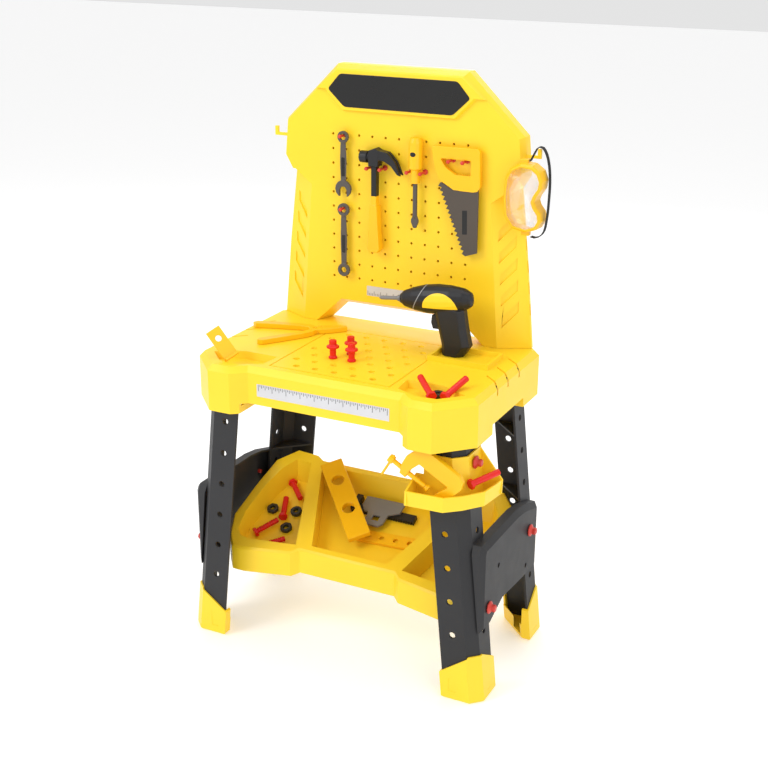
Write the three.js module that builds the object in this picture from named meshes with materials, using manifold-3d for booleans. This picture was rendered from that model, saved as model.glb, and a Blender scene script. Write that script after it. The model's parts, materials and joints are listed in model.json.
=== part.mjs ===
// Toy tool bench: a blow-moulded work bench with a peg board, two trays and a set of play tools.
// Millimetres. +X is the bench's right, +Y its back and +Z up; the floor is z = 0.
// The parts are drawn with y = 0 on the front face of the peg board, and the whole group is then
// moved back by `boardSetback`, so that the origin is under the middle of the bench.

import * as THREE from "three";
import { mergeVertices } from "three/addons/utils/BufferGeometryUtils.js";
import { ConvexGeometry } from "three/addons/geometries/ConvexGeometry.js";
import Module from "manifold-3d";

const wasm = await Module();
wasm.setup();

// ---- Driving dimensions -------------------------------------------------------------------
const boardSetback = 126.3;
const gap = 0.3; // left between pieces that touch

const pegPitch = 25.4;
const pegRows = 11;
const pegTopZ = 879.7;
const pegHoleRadius = 2.5;
const pegHoleDepth = 14;

const tableZ = 536; // play surface
const tableBevel = 10;
const apronZ = 472; // lower edge of the front apron
const podZ = 455; // lower edge of the four leg pods
const tableWall = 4;
const tableHalfWidth = 259;
const tableFrontY = -278.3;
const podFrontY = -298.6;
const tableBackY = 50.4;

const boardDepth = 36;
const boardTopZ = 997.8;
const columnDepth = 26; // how far back the slanted side columns run

const legTopZ = 500;
const legWall = 4;
const legSplay = 0.101; // sideways lean, mm per mm of height
const legPitchLean = 0.0129; // front-to-back lean
const legCornerX = 266.9; // at the floor: outer end of the front flange
const legFrontY = -263.1; // at the floor
const legCornerCut = 17.5;
const legFlange = 46.5;
const legHoleRadius = 6;
const legHoleStep = 60;
const legMidY = -113.9; // front and rear legs mirror about this plane

const shelfSlope = 0.44; // the lower tray rises towards the back
const shelfBackZ = 262; // rim height of the lower tray at y = 0
const shelfDepth = 52;

const cornerRimZ = 385;

// ---- Materials ----------------------------------------------------------------------------
const finish = (hex, roughness, metalness = 0) =>
  new THREE.MeshStandardMaterial({ color: hex, roughness, metalness });
const yellow = finish(0xfdda2d, 0.45);
const amber = finish(0xfcbe05, 0.4);
const charcoal = finish(0x3a3a3c, 0.55);
const braceGrey = finish(0x464648, 0.55);
const redPlastic = finish(0xdc140a, 0.4);
const pegRed = finish(0xd23c32, 0.4);
const nutBlack = finish(0x323023, 0.5);
const toolGrey = finish(0x55504e, 0.45, 0.2);
const sawGrey = finish(0x504841, 0.45, 0.2);
const drillBlack = finish(0x19191b, 0.45);
const plateGrey = finish(0x7d7d80, 0.45, 0.2);
const strapBlack = finish(0x101010, 0.85);
const clearPlastic = new THREE.MeshStandardMaterial({
  color: 0xf2f2ee, roughness: 0.08, transparent: true, opacity: 0.35,
});

// ---- Geometry helpers ---------------------------------------------------------------------
const v3 = (x, y, z) => new THREE.Vector3(x, y, z);
const rad = THREE.MathUtils.degToRad;

// A closed three.js geometry as a manifold-3d solid, turned outward if it was inside out.
function solid(geometry) {
  const plain = new THREE.BufferGeometry();
  plain.setAttribute("position", geometry.getAttribute("position").clone());
  if (geometry.index) plain.setIndex(geometry.index.clone());
  const merged = mergeVertices(plain, 1e-4);
  const triangles = new Uint32Array(merged.index.array);
  const build = () => new wasm.Manifold(new wasm.Mesh({
    numProp: 3,
    vertProperties: new Float32Array(merged.getAttribute("position").array),
    triVerts: triangles,
  }));
  let body = build();
  if (body.volume() < 0) {
    for (let i = 0; i < triangles.length; i += 3) {
      [triangles[i], triangles[i + 1]] = [triangles[i + 1], triangles[i]];
    }
    body = build();
  }
  return body;
}

function geometryOf(body) {
  const mesh = body.getMesh();
  const geometry = new THREE.BufferGeometry();
  geometry.setAttribute("position", new THREE.BufferAttribute(new Float32Array(mesh.vertProperties), 3));
  geometry.setIndex(new THREE.BufferAttribute(new Uint32Array(mesh.triVerts), 1));
  const flat = geometry.toNonIndexed();
  flat.computeVertexNormals();
  return flat;
}

const moved = (body, matrix) => body.transform(matrix.elements);
const shift = (x, y, z) => new THREE.Matrix4().makeTranslation(x, y, z);
const mirrorX = new THREE.Matrix4().makeScale(-1, 1, 1);
const flipX = (body) => moved(body, mirrorX);
const joined = (...bodies) => bodies.reduce((sum, body) => sum.add(body));
const mirroredPair = (points) => [...points, ...points.map(([x, y]) => [-x, y]).reverse()];

// A skin over rings of points that all have the same count, closed by a flat cap at each end.
function loftRings(rings) {
  const count = rings[0].length;
  const positions = rings.flat().flatMap((p) => [p.x, p.y, p.z]);
  const index = [];
  for (let r = 0; r + 1 < rings.length; r += 1) {
    for (let i = 0; i < count; i += 1) {
      const a = r * count + i;
      const b = r * count + ((i + 1) % count);
      index.push(a, b, b + count, a, b + count, a + count);
    }
  }
  const e1 = rings[0][1].clone().sub(rings[0][0]).normalize();
  const normal = new THREE.Vector3();
  rings[0].forEach((p, i) => {
    const q = rings[0][(i + 1) % count];
    normal.add(p.clone().sub(rings[0][0]).cross(q.clone().sub(rings[0][0])));
  });
  normal.normalize();
  const e2 = normal.clone().cross(e1);
  const cap = THREE.ShapeUtils.triangulateShape(
    rings[0].map((p) => new THREE.Vector2(p.dot(e1), p.dot(e2))), []);
  const top = (rings.length - 1) * count;
  cap.forEach(([a, b, c]) => index.push(a, c, b, top + a, top + b, top + c));
  const geometry = new THREE.BufferGeometry();
  geometry.setAttribute("position", new THREE.Float32BufferAttribute(positions, 3));
  geometry.setIndex(index);
  return solid(geometry);
}

// Straight and tapered prisms: from outlines in plan (x, y) and in elevation (x, z) or (y, z).
const ringXY = (points, z) => points.map(([x, y]) => v3(x, y, z));
const ringXZ = (points, y) => points.map(([x, z]) => v3(x, y, z));
const ringYZ = (points, x) => points.map(([y, z]) => v3(x, y, z));
const prismXY = (points, z0, z1) => loftRings([ringXY(points, z0), ringXY(points, z1)]);
const prismXZ = (points, y0, y1) => loftRings([ringXZ(points, y0), ringXZ(points, y1)]);
const prismYZ = (points, x0, x1) => loftRings([ringYZ(points, x0), ringYZ(points, x1)]);
const block = (x0, x1, y0, y1, z0, z1) => prismXY([[x0, y0], [x1, y0], [x1, y1], [x0, y1]], z0, z1);

// A cylinder or cone between two points.
function rod(a, b, radius, sides = 12, endRadius = radius) {
  const along = b.clone().sub(a);
  const geometry = new THREE.CylinderGeometry(endRadius, radius, along.length(), sides);
  const turn = new THREE.Quaternion().setFromUnitVectors(v3(0, 1, 0), along.clone().normalize());
  const middle = a.clone().add(b).multiplyScalar(0.5);
  return moved(solid(geometry), new THREE.Matrix4().compose(middle, turn, v3(1, 1, 1)));
}

// A turned body from (radius, height) pairs, standing on +Z.
function turned(profile, sides = 12) {
  const points = profile.map(([r, h]) => new THREE.Vector2(r, h));
  return moved(solid(new THREE.LatheGeometry(points, sides)), new THREE.Matrix4().makeRotationX(Math.PI / 2));
}

// The polygon pushed outward by `distance` along its mitred corners; it runs anticlockwise.
function outset(points, distance) {
  const count = points.length;
  return points.map(([x, y], i) => {
    const [px, py] = points[(i + count - 1) % count];
    const [nx, ny] = points[(i + 1) % count];
    const a = new THREE.Vector2(x - px, y - py).normalize();
    const b = new THREE.Vector2(nx - x, ny - y).normalize();
    const bisector = new THREE.Vector2(a.y + b.y, -a.x - b.x).normalize();
    const reach = distance / Math.max(0.4, bisector.dot(new THREE.Vector2(a.y, -a.x)));
    return [x + bisector.x * reach, y + bisector.y * reach];
  });
}

const ringPoints = (cx, cy, radius, sides) =>
  Array.from({ length: sides }, (_, i) => {
    const angle = (2 * Math.PI * i) / sides;
    return [cx + radius * Math.cos(angle), cy + radius * Math.sin(angle)];
  });

// The matrix that lays a part drawn along +X, with its top towards +Z, from `start` towards `end`.
function layAlong(start, end, up = v3(0, 0, 1)) {
  const x = end.clone().sub(start).normalize();
  const y = up.clone().cross(x).normalize();
  const z = x.clone().cross(y);
  return new THREE.Matrix4().makeBasis(x, y, z).setPosition(start);
}

const bench = new THREE.Group();
bench.position.y = boardSetback;

function addPart(name, body, material) {
  const mesh = new THREE.Mesh(geometryOf(body), material);
  mesh.name = name;
  bench.add(mesh);
}

// ---- Table --------------------------------------------------------------------------------
const podHalf = [[151, -180], [151, -289], [164, podFrontY], [205, podFrontY],
  [tableHalfWidth, -242], [tableHalfWidth, -180]];
const rearPodHalf = [[160, tableBackY], [160, -44], [tableHalfWidth, -44], [tableHalfWidth, 26],
  [238, tableBackY]];
const apronOutline = mirroredPair([[140, tableFrontY], [151, -289], [164, podFrontY], [205, podFrontY],
  [tableHalfWidth, -242], [tableHalfWidth, 26], [238, tableBackY]]);
const podBinOutline = [[121, -211], [125, -254], [163, -273], [200, -270], [234, -235], [185, -210]];
const podBinDepth = 13;
const gridRowStep = 30.7;
const gridColumnStep = 35.5;
const gridFrontY = -235.5;
const gridRows = 7;
const gridHoleRadius = 6;
const holderBox = { x0: 110, x1: 220, y0: -113, y1: -44 };
const holderHeight = 9;
const drillY = -66;

const gridHoles = [];
for (let row = 0; row < gridRows; row += 1) {
  const count = row % 2 === 0 ? 5 : 6;
  for (let i = 0; i < count; i += 1) {
    gridHoles.push([(i - (count - 1) / 2) * gridColumnStep, gridFrontY + row * gridRowStep]);
  }
}

function benchTop() {
  const skinZ = tableZ - 6;
  const inner = outset(apronOutline, -tableWall);
  const pods = (outline, offset, z0, z1) => {
    const right = prismXY(outset(outline, offset), z0, z1);
    return right.add(flipX(right));
  };
  let body = joined(
    loftRings([ringXY(apronOutline, apronZ), ringXY(apronOutline, tableZ - tableBevel),
      ringXY(outset(apronOutline, -tableBevel * 0.9), tableZ)]),
    pods(podHalf, 0, podZ, tableZ - tableBevel),
    pods(rearPodHalf, 0, podZ, tableZ - tableBevel));
  let pocket = joined(
    prismXY(inner, apronZ - 5, skinZ),
    pods(podHalf, -tableWall, podZ - 5, skinZ),
    pods(rearPodHalf, -tableWall, podZ - 5, skinZ));
  const binWall = prismXY(outset(podBinOutline, 4), tableZ - podBinDepth - 4, tableZ);
  pocket = pocket.subtract(binWall).subtract(flipX(binWall));
  body = body.subtract(pocket);
  const bin = loftRings([ringXY(outset(podBinOutline, -4), tableZ - podBinDepth),
    ringXY(podBinOutline, tableZ + 1)]);
  body = body.subtract(bin).subtract(flipX(bin));
  const seam = block(-112, 112, -256, -30, tableZ - 1.5, tableZ + 1)
    .subtract(block(-109.5, 109.5, -253.5, -32.5, tableZ - 2, tableZ + 2));
  body = body.subtract(seam);
  const { x0, x1, y0, y1 } = holderBox;
  body = body.add(block(x0, x1, y0, y1, tableZ - 2, tableZ + holderHeight))
    .subtract(block(x0 + 5, x1 - 5, y0 + 5, y1 - 5, tableZ + 1, tableZ + holderHeight + 1));
  for (const [x, y] of gridHoles) {
    body = body.subtract(prismXY(ringPoints(x, y, gridHoleRadius, 8), skinZ - 5, tableZ + 1));
  }
  for (const y of [-161, -116, -66]) {
    const rib = prismXZ([[228, tableZ + 1], [228, tableZ - 3], [252, tableZ - 5], [256, tableZ - 20],
      [262, tableZ - 20], [262, tableZ + 1]], y - 2.2, y + 2.2);
    const slant = new THREE.Matrix4().set(1, 0, 0, 0, -0.9, 1, 0, 0.9 * 256, 0, 0, 1, 0, 0, 0, 0, 1);
    const groove = moved(rib, slant);
    body = body.subtract(groove).subtract(flipX(groove));
  }
  return body;
}
addPart("bench_top", benchTop(), yellow);

// ---- Peg board ----------------------------------------------------------------------------
const boardOuterHalf = [[121.9, boardTopZ], [223, 899], [229, 834], [215, 811], [231, 675],
  [244, tableZ + gap]];
const boardFrontHalf = [[118, boardTopZ - 6], [217, 897], [222.5, 836], [206, 807], [222, 675],
  [236, tableZ + gap]];
const windowFront = mirroredPair([[167, tableZ - 9], [165, tableZ], [113, 584]]);
const windowBack = mirroredPair([[152, tableZ - 9], [150, tableZ], [118, 567]]);

// The slanted front of a side column: inner edge at the board's face, outer edge further back.
const columnInner = (z) => v3(171 + ((787 - z) * 19) / 251, 0, z);
const columnOuter = (z) => v3(215 + ((811 - z) * 29) / 275, columnDepth, z);

function boardColumnCutter() {
  const low = tableZ - 5;
  const points = [
    columnInner(787), columnInner(low), columnOuter(811), columnOuter(low),
    v3(171, -1, 787), v3(190, -1, low), v3(204, -1, 812), v3(204, 0, 812),
    v3(262, -1, 812), v3(262, -1, low), v3(262, columnDepth, 812), v3(262, columnDepth, low),
  ];
  return solid(new ConvexGeometry(points));
}

function columnSlots() {
  const slots = [];
  for (let i = 0; i < 5; i += 1) {
    const z = 722 - i * 37.5;
    const inner = columnInner(z);
    const across = columnOuter(z).sub(inner).normalize();
    const up = v3(0, 0, 1);
    const inward = across.clone().cross(up).normalize();
    if (inward.y < 0) inward.negate();
    const place = new THREE.Matrix4().makeBasis(across, up, inward).setPosition(inner);
    const start = 10;
    const end = 38;
    const rise = end - start;
    slots.push(moved(prismXY([[start, 0], [end, rise], [end, rise + 19], [start, 19]], -4, 4), place));
    const side = columnOuter(z + 34);
    slots.push(block(side.x - 3, side.x + 4, columnDepth + 1, columnDepth + 4.5, z + 22, z + 42));
  }
  return slots.reduce((sum, slot) => sum.add(slot));
}

function sideHook(side) {
  const arm = joined(
    block(224, 249, 12, 17, 866, 871),
    block(245, 251, 12, 17, 866, 882));
  return side < 0 ? flipX(arm) : arm;
}

function backboard() {
  let body = loftRings([
    ringXZ(mirroredPair(boardFrontHalf), 0),
    ringXZ(mirroredPair(boardOuterHalf), 12),
    ringXZ(mirroredPair(boardOuterHalf), boardDepth - 3),
    ringXZ(mirroredPair(boardOuterHalf.map(([x, z]) => [x - 3, z === tableZ + gap ? z : z - 3])), boardDepth),
  ]);
  const header = [[106, 921], [140, 955], [158, 955.5], [118, boardTopZ - 6]];
  body = body.add(loftRings([
    ringXZ(mirroredPair([[104, 923], [137.5, 957], [154, 957], [115.5, boardTopZ - 8.5]]), -7),
    ringXZ(mirroredPair(header), -2.5), ringXZ(mirroredPair(header), 6)]));
  const cutter = boardColumnCutter();
  const slots = columnSlots();
  body = body.subtract(cutter).subtract(flipX(cutter)).subtract(slots).subtract(flipX(slots));
  body = body.subtract(loftRings([ringXZ(windowFront, -1), ringXZ(windowBack, boardDepth + 1)]));
  for (let row = 0; row < pegRows; row += 1) {
    for (let column = 0; column < pegRows; column += 1) {
      const x = (column - (pegRows - 1) / 2) * pegPitch;
      const z = pegTopZ - row * pegPitch;
      body = body.subtract(prismXZ(ringPoints(x, z, pegHoleRadius, 6), -1, pegHoleDepth));
    }
  }
  return joined(body, sideHook(1), sideHook(-1));
}
addPart("backboard", backboard(), yellow);

// ---- Legs, feet and side braces -----------------------------------------------------------
// Plan section of the front right leg at height z, grown by `grow`: front flange, corner cut and
// side flange, open towards the inside of the bench.
function legSection(z, grow = 0, thickness = legWall) {
  const cx = legCornerX - legSplay * z;
  const cy = legFrontY + legPitchLean * z;
  const cut = legCornerCut;
  const outer = [[cx - legFlange, cy - grow], [cx + grow * 0.4, cy - grow],
    [cx + cut + grow, cy + cut - grow * 0.4], [cx + cut + grow, cy + cut + 45]];
  const inset = thickness - grow;
  const inner = [[cx + cut - inset, cy + cut + 45], [cx + cut - inset, cy + cut + inset * 0.4],
    [cx - inset * 0.4, cy + inset], [cx - legFlange, cy + inset]];
  return [...outer, ...inner];
}

const legHoleHeights = Array.from({ length: 6 }, (_, i) => 120.5 + i * legHoleStep);
const mirrorBack = new THREE.Matrix4().set(1, 0, 0, 0, 0, -1, 0, 2 * legMidY, 0, 0, 1, 0, 0, 0, 0, 1);
const corners = {
  front_right: (body) => body,
  front_left: (body) => flipX(body),
  rear_right: (body) => moved(body, mirrorBack),
  rear_left: (body) => flipX(moved(body, mirrorBack)),
};

function legRib(z) {
  const [a, b, c, d] = legSection(z, -1);
  return prismXY([a, b, c, d], z, z + 3);
}

function leg() {
  const bottomZ = 9;
  let body = loftRings([bottomZ, legTopZ].map((z) => ringXY(legSection(z), z)));
  for (const z of [150, 270, 390, 470]) body = body.add(legRib(z));
  for (const z of legHoleHeights) {
    const cx = legCornerX - legSplay * z;
    const cy = legFrontY + legPitchLean * z;
    body = body.subtract(prismXZ(ringPoints(cx - 23, z, legHoleRadius, 8), cy - 5, cy + 9));
    body = body.subtract(prismYZ(ringPoints(cy + 40, z, legHoleRadius, 8), cx + 9, cx + 23));
  }
  return body;
}

function foot() {
  const outline = (z, grow) => {
    const section = legSection(z, grow);
    const cx = legCornerX - legSplay * z;
    const cy = legFrontY + legPitchLean * z;
    return [[cx - legFlange - 4, cy + 14], [cx - legFlange - 4, cy - grow], section[1], section[2],
      [section[3][0], section[3][1] + 4], [cx + 4, section[3][1] + 4]];
  };
  const height = 92;
  const grow = 3.2;
  let body = loftRings([ringXY(outset(outline(0, grow), -3), 0), ringXY(outline(3, grow), 3),
    ringXY(outline(height, grow), height)]);
  const cx = legCornerX;
  const cy = legFrontY;
  const pocket = loftRings([8, height + 2].map((z) => {
    const section = legSection(z, gap, legWall + 2 * gap);
    return ringXY([[cx - legFlange - 0.5 - legSplay * z, section[0][1]], section[1], section[2],
      [section[3][0], section[3][1] + 0.5], [cx - legSplay * z - 2, section[3][1] + 0.5],
      [cx - legFlange - 0.5 - legSplay * z, cy + 14]], z);
  }));
  body = body.subtract(pocket);
  const slopeFront = prismXZ([[cx - legFlange - 20, 40], [cx - 6, 84], [cx - 6, 120],
    [cx - legFlange - 20, 120]], cy - 12, cy + 16);
  const slopeSide = prismYZ([[cy + 23, 86], [cy + 80, 52], [cy + 80, 120], [cy + 23, 120]],
    cx - 12, cx + 30);
  const inside = prismXY([[cx - legFlange - 20, cy + 13], [cx + 2, cy + 13], [cx + 2, cy + 90],
    [cx - legFlange - 20, cy + 90]], 30, 130);
  const topCut = block(cx - 90, cx + 40, cy - 12, cy + 90, 86, 130);
  body = body.subtract(slopeFront).subtract(slopeSide).subtract(inside).subtract(topCut);
  const frontMark = prismXZ([[cx - 38, 16], [cx - 24, 16], [cx - 24, 46], [cx - 38, 40]], cy - 5, cy - 2.2);
  const sideMark = prismYZ([[cy + 32, 14], [cy + 48, 14], [cy + 48, 46], [cy + 32, 56]], cx + 18.9, cx + 24);
  return body.subtract(frontMark).subtract(sideMark);
}

const brace = {
  outerX: 279,
  outline: [[-249, 124], [-211, 124], [-158, 144], [-63, 136], [4, 136], [4, 262], [-58, 279],
    [-95, 284], [-241, 284], [-249, 270]],
  knobs: [[-40, 226], [-222, 166]],
  wall: 4,
};

function sideBrace() {
  const top = outset(brace.outline, -9);
  let body = loftRings([ringYZ(brace.outline, 250), ringYZ(brace.outline, brace.outerX - 8),
    ringYZ(top, brace.outerX)]);
  body = body.subtract(loftRings([ringYZ(outset(brace.outline, -brace.wall), 240),
    ringYZ(outset(brace.outline, -brace.wall), brace.outerX - 8),
    ringYZ(outset(top, -brace.wall * 0.6), brace.outerX - brace.wall)]));
  const legSide = loftRings([100, 300].map((z) => ringXY([
    [230, -275], [legCornerX - legSplay * z, -275],
    [legCornerX + legCornerCut + gap - legSplay * z, -252],
    [legCornerX + legCornerCut + gap - legSplay * z, 30], [230, 30]], z)));
  body = body.subtract(legSide);
  for (const [y, z] of [...brace.knobs, [-182, 225], [-51, 162]]) {
    body = body.subtract(prismYZ(ringPoints(y, z, 4.8, 8), 240, brace.outerX + 2));
  }
  return body;
}

// A red flanged screw: disc, hexagonal grip and shank, its axis on +X with the disc's face at x = 0.
function knobScrew(shankLength) {
  const sideways = new THREE.Matrix4().makeRotationY(Math.PI / 2);
  const body = joined(
    turned([[0, 0], [9.5, 0], [11, 1.5], [11, 3], [7, 5.5], [0, 5.5]], 14),
    turned([[0, 5], [6.5, 5], [6.5, 12], [5, 13], [0, 13]], 6),
    turned([[0, 1], [4, 1], [4, -shankLength], [0, -shankLength]], 10));
  return moved(body, sideways);
}

for (const [name, place] of Object.entries(corners)) {
  addPart(`leg_${name}`, place(leg()), charcoal);
  addPart(`foot_${name}`, place(foot()), yellow);
}
const rightBrace = sideBrace();
addPart("side_brace_right", rightBrace, braceGrey);
addPart("side_brace_left", flipX(rightBrace), braceGrey);
brace.knobs.forEach(([y, z], i) => {
  const knob = moved(knobScrew(9), shift(brace.outerX + gap, y, z));
  addPart(`brace_knob_right_${i + 1}`, knob, pegRed);
  addPart(`brace_knob_left_${i + 1}`, flipX(knob), pegRed);
});

// ---- Lower tray ---------------------------------------------------------------------------
// Drawn level with its rim at z = 0, then sheared to rise towards the back with upright walls.
const shelfShear = new THREE.Matrix4().set(1, 0, 0, 0, 0, 1, 0, 0, 0, shelfSlope, 1, shelfBackZ, 0, 0, 0, 1);
const onShelf = (x, y, drop) => v3(x, y, shelfBackZ + shelfSlope * y - drop);
const shelfOutline = mirroredPair([[94, -200], [107, -211], [200, -224], [221, -224], [238, -204],
  [256, -160], [252, -88], [244, -25], [212, 8], [168, 5], [152, -4]]);
const sideBin = [[105, -193], [200, -203], [217, -200], [231, -187], [237, -150], [232, -88], [221, -42],
  [203, -15], [172, -17]];
const middleBin = [[-75, -188], [75, -188], [148, -17], [-148, -17]];
const binDepth = 40;

function lowerTray() {
  let body = loftRings([ringXY(outset(shelfOutline, -5), -shelfDepth),
    ringXY(shelfOutline, -shelfDepth + 6), ringXY(shelfOutline, -3), ringXY(outset(shelfOutline, -3), 0)]);
  const bin = (outline) => loftRings([ringXY(outset(outline, -5), -binDepth), ringXY(outline, 1)]);
  const right = bin(sideBin);
  body = body.subtract(right).subtract(flipX(right)).subtract(bin(middleBin));
  body = body.subtract(loftRings([ringXY(outset(shelfOutline, -10), -shelfDepth - 1),
    ringXY(outset(shelfOutline, -10), -binDepth - 4)]));
  body = moved(body, shelfShear);
  for (const place of Object.values(corners)) {
    const clearance = loftRings([60, 330].map((z) => {
      const [a, b, c, d] = legSection(z, gap);
      const thick = legWall + 2 * gap;
      return ringXY([a, b, c, d, [d[0] - thick, d[1]], [c[0] - thick, c[1] + 2], [b[0] - 2, b[1] + thick],
        [a[0], a[1] + thick]], z);
    }));
    body = body.subtract(place(clearance));
  }
  return body;
}
addPart("lower_tray", lowerTray(), yellow);

// ---- Corner tray --------------------------------------------------------------------------
const cornerRim = [[162, -303], [228, -300], [252, -279], [277, -247], [284, -190]];
const cornerDepth = 27;

function cornerTray() {
  const wall = 3;
  const inside = (z, grow) => legSection(z, grow).slice(0, 4);
  const footprint = (z, rim) => {
    const [, b, c] = inside(z, 1);
    return [...rim, [c[0], -190], c, b, [162, b[1]]];
  };
  const lowRim = cornerRim.map(([x, y]) => [x - 3, y + 4]);
  const bottom = cornerRimZ - cornerDepth;
  let body = loftRings([ringXY(footprint(bottom, lowRim), bottom),
    ringXY(footprint(cornerRimZ, cornerRim), cornerRimZ)]);
  const cavity = (z, rim) => {
    const [, b, c] = inside(z, 1 + wall);
    return [[rim[0][0] + wall, rim[0][1] + wall], [rim[1][0] - 1, rim[1][1] + wall],
      [rim[2][0] - 2, rim[2][1] + wall],
      [rim[3][0] - wall, rim[3][1] + 1], [rim[4][0] - wall, -190 - wall], [c[0], -190 - wall], c, b,
      [rim[0][0] + wall, b[1]]];
  };
  body = body.subtract(loftRings([ringXY(cavity(bottom + 3, lowRim), bottom + 3),
    ringXY(cavity(cornerRimZ + 1, cornerRim), cornerRimZ + 1)]));
  const topZ = 437;
  const backPlate = loftRings([bottom, topZ].map((z) => {
    const [, b, c] = inside(z, 1);
    const [, bOut, cOut] = inside(z, 1 + wall);
    return ringXY([[176, bOut[1]], bOut, cOut, [cOut[0], -190], [c[0], -190], c, b, [176, b[1]]], z);
  }));
  const rightWing = prismXZ([[249, bottom + 2], [283, bottom + 2], [284, cornerRimZ], [244, 435],
    [240.5, 435]], -190 - wall, -190);
  const leftWing = prismYZ([[-260, bottom + 2], [-302, bottom + 2], [-303, cornerRimZ], [-262, 400],
    [-259, 400]], 162, 162 + wall);
  const leftLink = block(162, 177, -262, -259, bottom, 400);
  const legSpace = loftRings([bottom - 10, topZ + 10].map((z) => {
    const [, b, c] = inside(z, 1 - gap);
    return ringXY([[150, b[1]], b, c, [c[0], -150], [150, -150]], z);
  }));
  const plate = joined(backPlate, rightWing, leftWing, leftLink).subtract(legSpace);
  const cutHole = prismYZ(ringPoints(-222, 421, 4.8, 8), 230, 262);
  return body.add(plate).subtract(cutHole);
}
addPart("corner_tray", cornerTray(), yellow);
const trayKnobX = legCornerX + legCornerCut - legSplay * 421 + 4 + 1.2;
addPart("tray_knob", moved(knobScrew(3.8), shift(trayKnobX, -222, 421)), pegRed);

// ---- Hanging tools and their pegs ---------------------------------------------------------
const holeX = (column) => (column - (pegRows - 1) / 2) * pegPitch;
const holeZ = (row) => pegTopZ - row * pegPitch;
const pegLength = 26;

// A dumbbell peg: plug in the board's hole, base disc, stem and ball tip.
function peg(column, row) {
  const profile = [[0, -10], [1.5, -10], [1.5, gap], [5, gap], [5, 2.6], [2.4, 3.4], [2.4, 19.5],
    [3.8, 22], [2.8, 25.5], [0, pegLength]];
  const outward = new THREE.Matrix4().makeRotationX(Math.PI / 2).setPosition(holeX(column), 0, holeZ(row));
  return moved(turned(profile, 8), outward);
}
const pegPlaces = {
  peg_wrench_open: [1, 0], peg_wrench_ring: [1, 5], peg_hammer_left: [3, 2], peg_hammer_right: [4, 2],
  peg_driver_left: [6, 2], peg_driver_right: [7, 2], peg_saw_left: [9, 1], peg_saw_right: [10, 1],
};
for (const [name, [column, row]] of Object.entries(pegPlaces)) addPart(name, peg(column, row), pegRed);

const flatTool = (outline, y0, y1) => prismXZ(outline, y0, y1);
const ringHole = (x, z, radius, sides) => prismXZ(ringPoints(x, z, radius, sides), -40, 10);
const wrenchY = [-13, -8];
const ringDrop = 2.5; // a ring hangs this far below its peg
const ringHoleRadius = 6;

function wrenchShaft(x, z0, z1) {
  return flatTool([[x - 5, z0], [x + 5, z0], [x + 6.3, (z0 + z1) / 2], [x + 5, z1], [x - 5, z1],
    [x - 6.3, (z0 + z1) / 2]], wrenchY[0] + 1.5, wrenchY[1] - 1.5);
}

function wrenchOpen() {
  const x = holeX(1);
  const ringZ = holeZ(0) - ringDrop;
  const jawZ = 787;
  const jaw = flatTool(ringPoints(x, jawZ, 15.5, 14), ...wrenchY);
  const mouth = prismXZ([[x - 7, jawZ - 20], [x + 7, jawZ - 20], [x + 7, jawZ - 1], [x + 3.5, jawZ + 4],
    [x - 3.5, jawZ + 4], [x - 7, jawZ - 1]], -40, 10);
  return joined(flatTool(ringPoints(x, ringZ, 10.5, 14), ...wrenchY), wrenchShaft(x, jawZ + 12, ringZ - 8),
    jaw.subtract(mouth)).subtract(ringHole(x, ringZ, ringHoleRadius, 6));
}

function wrenchRing() {
  const x = holeX(1);
  const topZ = holeZ(5) - ringDrop;
  const lowZ = 641.5;
  return joined(flatTool(ringPoints(x, topZ, 11.5, 14), ...wrenchY), wrenchShaft(x, lowZ + 9, topZ - 9),
    flatTool(ringPoints(x, lowZ, 11.8, 14), ...wrenchY))
    .subtract(ringHole(x, topZ, ringHoleRadius, 6)).subtract(ringHole(x, lowZ, ringHoleRadius, 6));
}
addPart("wrench_open", wrenchOpen(), toolGrey);
addPart("wrench_ring", wrenchRing(), toolGrey);

const hammerX = -38.1;
const hammerY = -14;
function hammerHead() {
  const z = 849;
  const face = rod(v3(hammerX - 27, hammerY, z - 1), v3(hammerX - 13, hammerY, z - 1), 10.5, 12);
  const neck = rod(v3(hammerX - 16, hammerY, z - 1), v3(hammerX - 4, hammerY, z), 7.5, 12);
  const eye = prismXZ([[-9, -15.5], [9, -15.5], [10, 12], [3, 16], [-9, 11]]
    .map(([dx, dz]) => [hammerX + dx, z + dz]), hammerY - 9, hammerY + 9);
  const claw = loftRings([
    [[4, 13], [26, 10], [41, -5], [51, -28], [45, -26], [33, -12], [20, -5], [4, -4]]]
    .map((outline) => outline.map(([dx, dz]) => [hammerX + dx, z + dz]))
    .flatMap((outline) => [-8, 8].map((y) => ringXZ(outline, hammerY + y))));
  const slot = prismXY([[24, -1.2], [60, -2.6], [60, 2.6], [24, 1.2]]
    .map(([dx, dy]) => [hammerX + dx, hammerY + dy]), z - 40, z + 20);
  return joined(face, neck, eye, claw.subtract(slot));
}
function hammerHandle() {
  const topZ = 849 - 15.5 - gap;
  const grip = [[-7, 765], [-9, 725], [-12, 690], [-8, 683], [8, 683], [12, 690], [9, 725], [7, 765]];
  return joined(
    flatTool(grip.map(([dx, z]) => [hammerX + dx, z]), hammerY - 8, hammerY + 8),
    block(hammerX - 5, hammerX + 5, hammerY - 6, hammerY + 6, 760, topZ));
}
addPart("hammer_head", hammerHead(), drillBlack);
addPart("hammer_handle", hammerHandle(), amber);

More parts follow.
